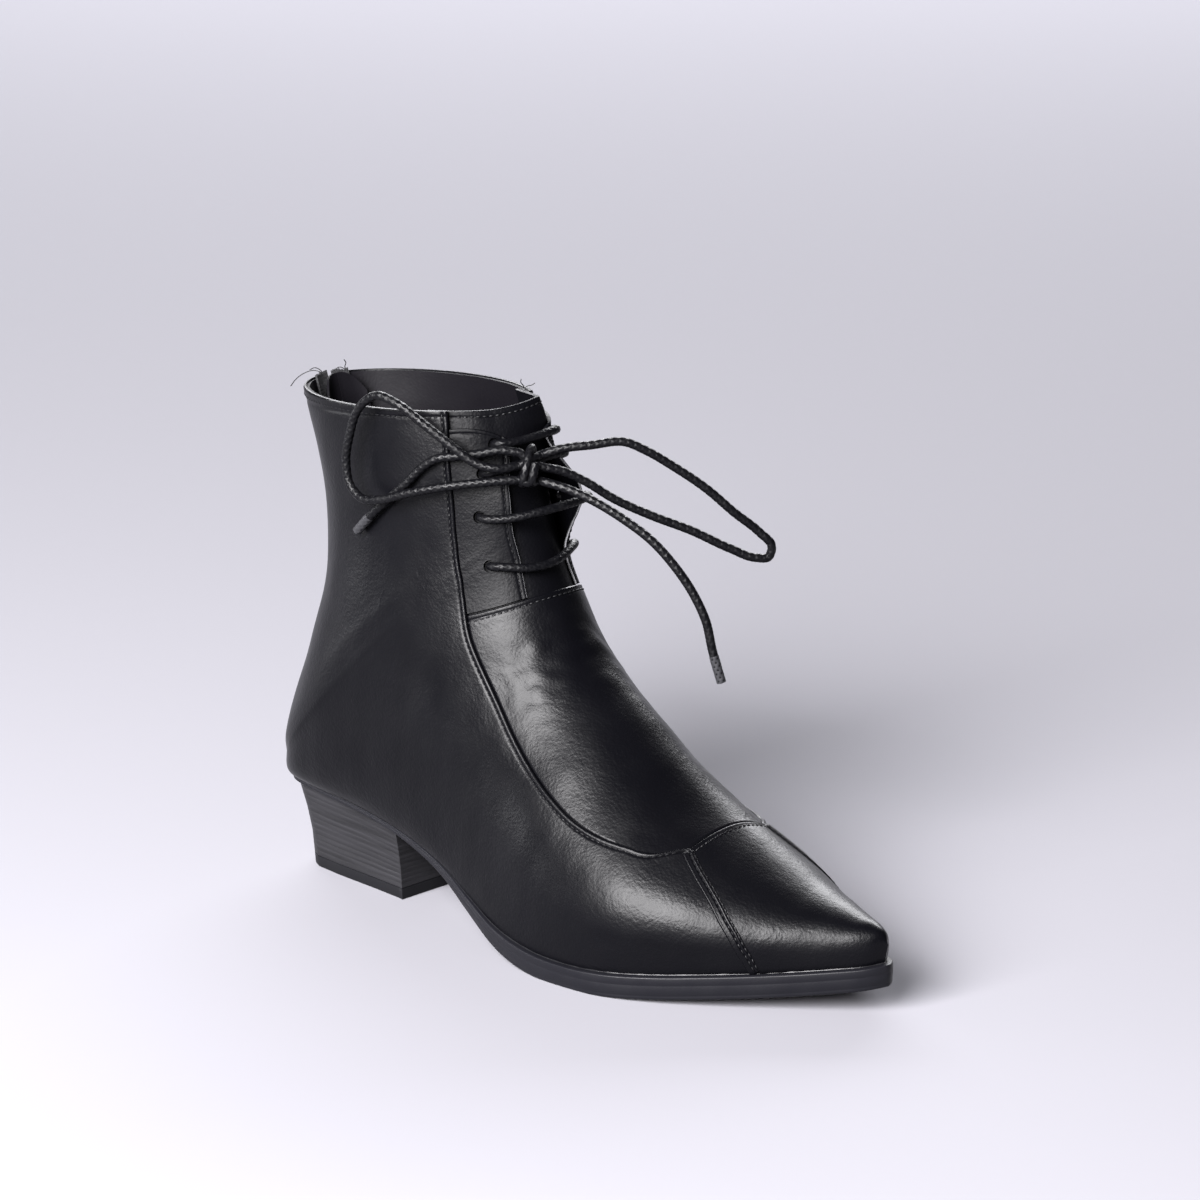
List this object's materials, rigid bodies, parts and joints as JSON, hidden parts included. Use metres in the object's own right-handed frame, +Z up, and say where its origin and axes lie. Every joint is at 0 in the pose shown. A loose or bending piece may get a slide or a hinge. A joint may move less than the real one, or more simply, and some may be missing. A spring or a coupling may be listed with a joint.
{
  "type": "lace up ankle boot",
  "caption": "Pointed leather ankle boot on a low block heel, open at the collar, with a lace tied over its tongue and a back zip.",
  "frame": {"origin": "middle of the footprint on the floor, under the boot without its free lace", "axes": "+X to the toe, +Y to the inner side of the foot, +Z up"},
  "size_m": [0.275, 0.1056, 0.192],
  "materials": {
    "black_leather": "black smooth leather with a soft gloss",
    "tongue_leather": "black leather, satin",
    "insole_board": "dark lining",
    "sole_rubber": "satin dark grey edge",
    "heel_stack": "matt painted stack, almost black",
    "lift_rubber": "matt",
    "zip_cloth": "woven tape, black",
    "guard_leather": "black leather, satin",
    "zip_metal": "dark enamel",
    "pull_metal": "dark enamel",
    "lace_cord": "waxed round cord, black"
  },
  "bodies": {
    "boot": {"upper": "black_leather", "tongue": "tongue_leather", "insole": "insole_board", "outsole": "sole_rubber", "heel_block": "heel_stack", "top_lift": "lift_rubber", "zip_tape": "zip_cloth", "zip_guard": "guard_leather", "zip_slider": "zip_metal", "lace_bar_1": "lace_cord", "lace_bar_2": "lace_cord", "lace_bar_3": "lace_cord", "lace_bar_4": "lace_cord", "lace_knot": "lace_cord", "lace_loop_outer": "lace_cord", "lace_end_outer": "lace_cord", "lace_loop_inner": "lace_cord", "lace_end_inner": "lace_cord"},
    "zip_pull": {"zip_pull": "pull_metal"}
  },
  "joints": [
    {"name": "zip_pull_swing", "type": "hinge", "parent": "boot", "child": "zip_pull", "pos_m": [-0.12311, 0.00345, 0.15518], "axis": [0, 1, 0], "range_deg": [-15, 145]}
  ]
}
